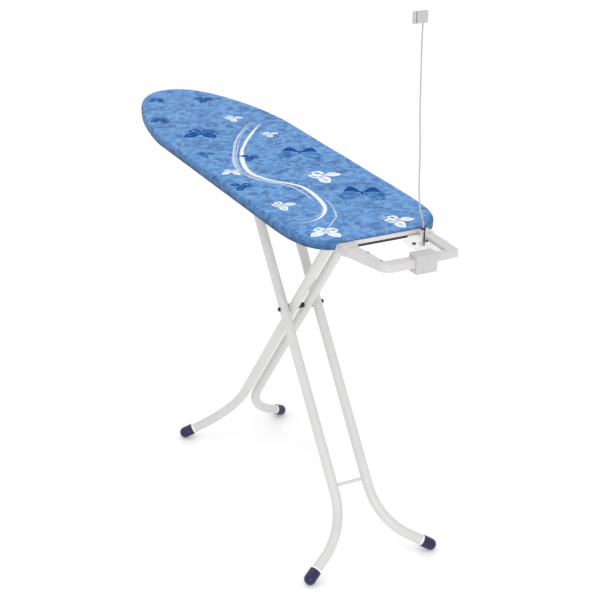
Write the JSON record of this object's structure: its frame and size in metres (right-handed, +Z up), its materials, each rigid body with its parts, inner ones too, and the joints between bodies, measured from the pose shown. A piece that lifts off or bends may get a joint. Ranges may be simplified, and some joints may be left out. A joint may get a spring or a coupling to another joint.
{
  "type": "ironing board",
  "caption": "Folding ironing board on crossed tube legs, with a printed padded cover, an iron rest at the tail and a cord holder rod.",
  "frame": {"origin": "on the floor, in the middle of the overall length and width", "axes": "+X from the nose to the iron rest, +Y across the board, +Z up"},
  "size_m": [1.344, 0.3606, 1.349],
  "materials": {
    "cover_fabric": "printed cotton",
    "felt_pad": "felt",
    "deck_paint": "powder coat",
    "rail_paint": "powder coat",
    "black_trim": "matte",
    "zinc_steel": "zinc plated",
    "black_plastic": "matte",
    "rest_plastic": "fine satin",
    "stud_plastic": "satin",
    "chrome_tube": "polished",
    "block_plastic": "satin",
    "leg_paint": "silver-grey powder coat",
    "black_steel": "blackened",
    "nylon": "satin",
    "foot_plastic": "moulded",
    "spring_steel": "drawn wire",
    "clip_plastic": "satin"
  },
  "bodies": {
    "board": {"cover": "cover_fabric", "pad": "felt_pad", "deck": "deck_paint", "tail_rail": "rail_paint", "tail_trim": "black_trim", "guide_rail_near": "zinc_steel", "guide_rail_far": "zinc_steel", "axle_brackets": "zinc_steel", "top_axle": "zinc_steel", "axle_caps": "black_plastic", "lever_bracket": "zinc_steel", "lever_pin": "zinc_steel", "rest_hubs": "rest_plastic", "rest_frame": "rest_plastic", "rest_studs": "stud_plastic", "holder_plate": "rest_plastic", "holder_screws": "black_plastic", "holder_sleeve": "chrome_tube", "sleeve_strip": "black_plastic", "sleeve_cap": "black_plastic", "clamp_block": "block_plastic"},
    "inner_legs": {"inner_leg_near": "leg_paint", "inner_leg_far": "leg_paint", "pivot_bolt": "black_steel", "pivot_nut": "black_steel", "pivot_spacer": "black_plastic", "pivot_washers": "nylon", "inner_foot_collars": "nylon", "inner_foot_caps": "foot_plastic"},
    "outer_legs": {"outer_leg_near": "leg_paint", "outer_leg_far": "leg_paint", "crossbar": "leg_paint", "slide_bar": "zinc_steel", "slide_rollers": "nylon", "outer_foot_collars": "nylon", "outer_foot_caps": "foot_plastic"},
    "release": {"release_lever": "zinc_steel", "release_grip": "foot_plastic"},
    "cord_holder": {"cord_rod": "spring_steel", "cord_clip": "clip_plastic"}
  },
  "joints": [
    {"name": "leg_fold", "type": "hinge", "parent": "board", "child": "inner_legs", "pos_m": [0.3674, 0, 0.812], "axis": [0, 1, 0], "range_deg": [0, 51]},
    {"name": "leg_cross", "type": "hinge", "parent": "inner_legs", "child": "outer_legs", "pos_m": [0.15565, 0, 0.528], "axis": [0, 1, 0], "range_deg": [-102, 0]},
    {"name": "height_release", "type": "hinge", "parent": "board", "child": "release", "pos_m": [0.12, 0, 0.826], "axis": [0, 1, 0], "range_deg": [0, 2], "stiffness_Nm_per_rad": 6, "springref_deg": -8.59},
    {"name": "cord_swivel", "type": "hinge", "parent": "board", "child": "cord_holder", "pos_m": [0.5869, 0.0631, 0.84], "axis": [0, 0, 1], "continuous": true}
  ],
  "couplings": [
    {"joint": "leg_cross", "follows": "leg_fold", "ratio": -2}
  ]
}
